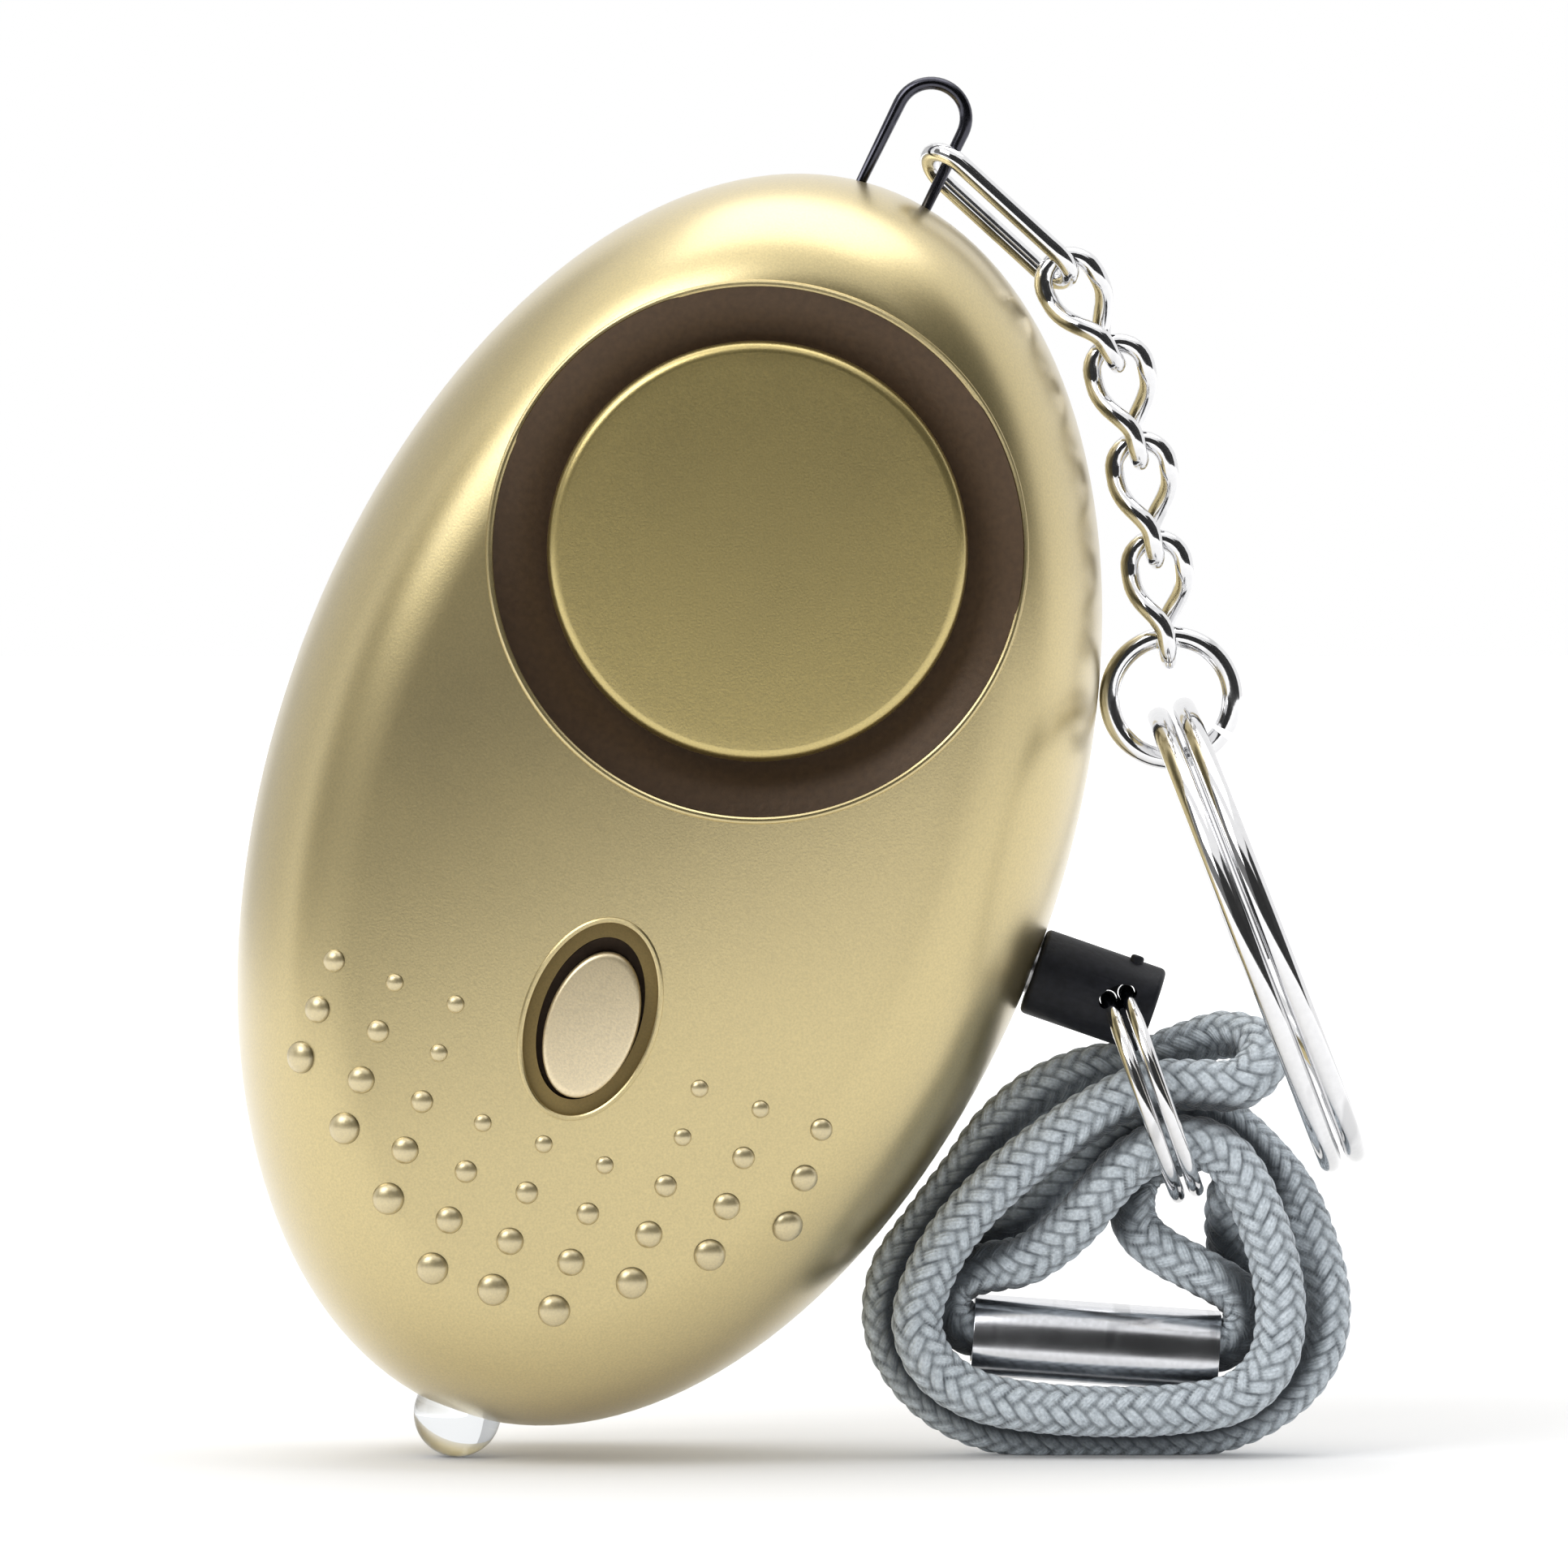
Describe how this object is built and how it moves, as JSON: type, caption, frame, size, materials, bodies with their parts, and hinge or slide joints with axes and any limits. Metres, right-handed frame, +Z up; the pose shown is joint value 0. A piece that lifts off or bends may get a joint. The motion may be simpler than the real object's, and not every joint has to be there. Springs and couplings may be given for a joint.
{
  "type": "personal safety alarm",
  "caption": "Egg-shaped hand siren with a round sounder, a light button, a lamp in the tip, a pull pin with a braided wrist strap, and a key chain.",
  "frame": {"origin": "on the table, under the middle of the box round the alarm and its key chain", "axes": "+Z up, the front with the sounder towards -Y, +X to the right as seen from the front; the long axis of the egg leans to the right"},
  "size_m": [0.0568, 0.025, 0.0692],
  "materials": {
    "gold_paint": "satin metallic paint with a fine grain",
    "dark_recess": "dull moulded plastic",
    "black_plastic": "dull moulded plastic",
    "white_plastic": "dull moulded plastic",
    "clear_lens": "clear polished lens",
    "bright_chrome": "polished plating",
    "plain_steel": "plain bright steel",
    "dark_wire": "dark drawn wire",
    "spring_brass": "rolled sheet",
    "ceramic": "fired ceramic with a silver face",
    "lead_insulation": "smooth insulation",
    "board": "lacquered laminate",
    "ferrite": "dull ferrite",
    "copper_wire": "enamelled wire",
    "grey_braid": "herringbone braid"
  },
  "bodies": {
    "alarm_body": {"front_shell": "gold_paint", "rear_shell": "gold_paint", "resonator_cup": "dark_recess", "sounder_cap": "gold_paint", "piezo_plate": "spring_brass", "piezo_ceramic": "ceramic", "piezo_leads": "lead_insulation", "circuit_board": "board", "tact_switch": "black_plastic", "siren_chip": "black_plastic", "drive_transistor": "black_plastic", "inductor_core": "ferrite", "inductor_winding": "copper_wire", "lamp_lens": "clear_lens", "lamp_leads": "plain_steel", "button_cells": "plain_steel", "battery_tray": "black_plastic", "battery_spring": "plain_steel", "battery_plate": "plain_steel", "pin_socket": "black_plastic", "contact_leaves": "spring_brass", "case_screws": "plain_steel", "wire_loop": "dark_wire"},
    "light_button": {"light_button": "gold_paint", "switch_plunger": "white_plastic"},
    "pull_pin": {"pull_pin": "plain_steel"},
    "pull_plug": {"pull_plug": "black_plastic"},
    "strap": {"strap_ring": "bright_chrome", "wrist_strap": "grey_braid", "strap_ferrule": "bright_chrome"},
    "chain_connector": {"chain_connector": "bright_chrome"},
    "chain_link_1": {"chain_link_1": "bright_chrome"},
    "chain_link_2": {"chain_link_2": "bright_chrome"},
    "chain_link_3": {"chain_link_3": "bright_chrome"},
    "chain_link_4": {"chain_link_4": "bright_chrome"},
    "jump_ring": {"jump_ring": "bright_chrome"},
    "key_ring": {"key_ring": "bright_chrome"}
  },
  "joints": [
    {"name": "button_press", "type": "slide", "parent": "alarm_body", "child": "light_button", "axis": [0, 1, 0], "range_m": [0, 0.0005], "stiffness_N_per_m": 2000},
    {"name": "pin_pull", "type": "slide", "parent": "alarm_body", "child": "pull_pin", "axis": [0.9449, 0, -0.3272], "range_m": [0, 0.006], "deforming": ["wrist_strap"]},
    {"name": "plug_turn", "type": "hinge", "parent": "pull_pin", "child": "pull_plug", "pos_m": [0.0157, 0, 0.02298], "axis": [0.9449, 0, -0.3272], "range_deg": [-25, 25]},
    {"name": "strap_swing", "type": "hinge", "parent": "pull_plug", "child": "strap", "pos_m": [0.0157, 0, 0.02298], "axis": [0, -1, 0], "range_deg": [-1, 4]},
    {"name": "connector_swing", "type": "hinge", "parent": "alarm_body", "child": "chain_connector", "pos_m": [0.00702, 0, 0.06469], "axis": [0, -1, 0], "range_deg": [0, 25]},
    {"name": "link_1_swing", "type": "hinge", "parent": "chain_connector", "child": "chain_link_1", "pos_m": [0.01315, 0, 0.0591], "axis": [0, -1, 0], "range_deg": [0, 25]},
    {"name": "link_2_swing", "type": "hinge", "parent": "chain_link_1", "child": "chain_link_2", "pos_m": [0.01565, 0, 0.05477], "axis": [0, -1, 0], "range_deg": [0, 25]},
    {"name": "link_3_swing", "type": "hinge", "parent": "chain_link_2", "child": "chain_link_3", "pos_m": [0.01677, 0, 0.04989], "axis": [0, -1, 0], "range_deg": [0, 25]},
    {"name": "link_4_swing", "type": "hinge", "parent": "chain_link_3", "child": "chain_link_4", "pos_m": [0.01756, 0, 0.04496], "axis": [0, -1, 0], "range_deg": [0, 25]},
    {"name": "jump_ring_swing", "type": "hinge", "parent": "chain_link_4", "child": "jump_ring", "pos_m": [0.01821, 0, 0.04], "axis": [0, -1, 0], "range_deg": [0, 25]},
    {"name": "key_ring_swing", "type": "hinge", "parent": "jump_ring", "child": "key_ring", "pos_m": [0.01835, 0, 0.03733], "axis": [0, -1, 0], "range_deg": [0, 25]}
  ]
}
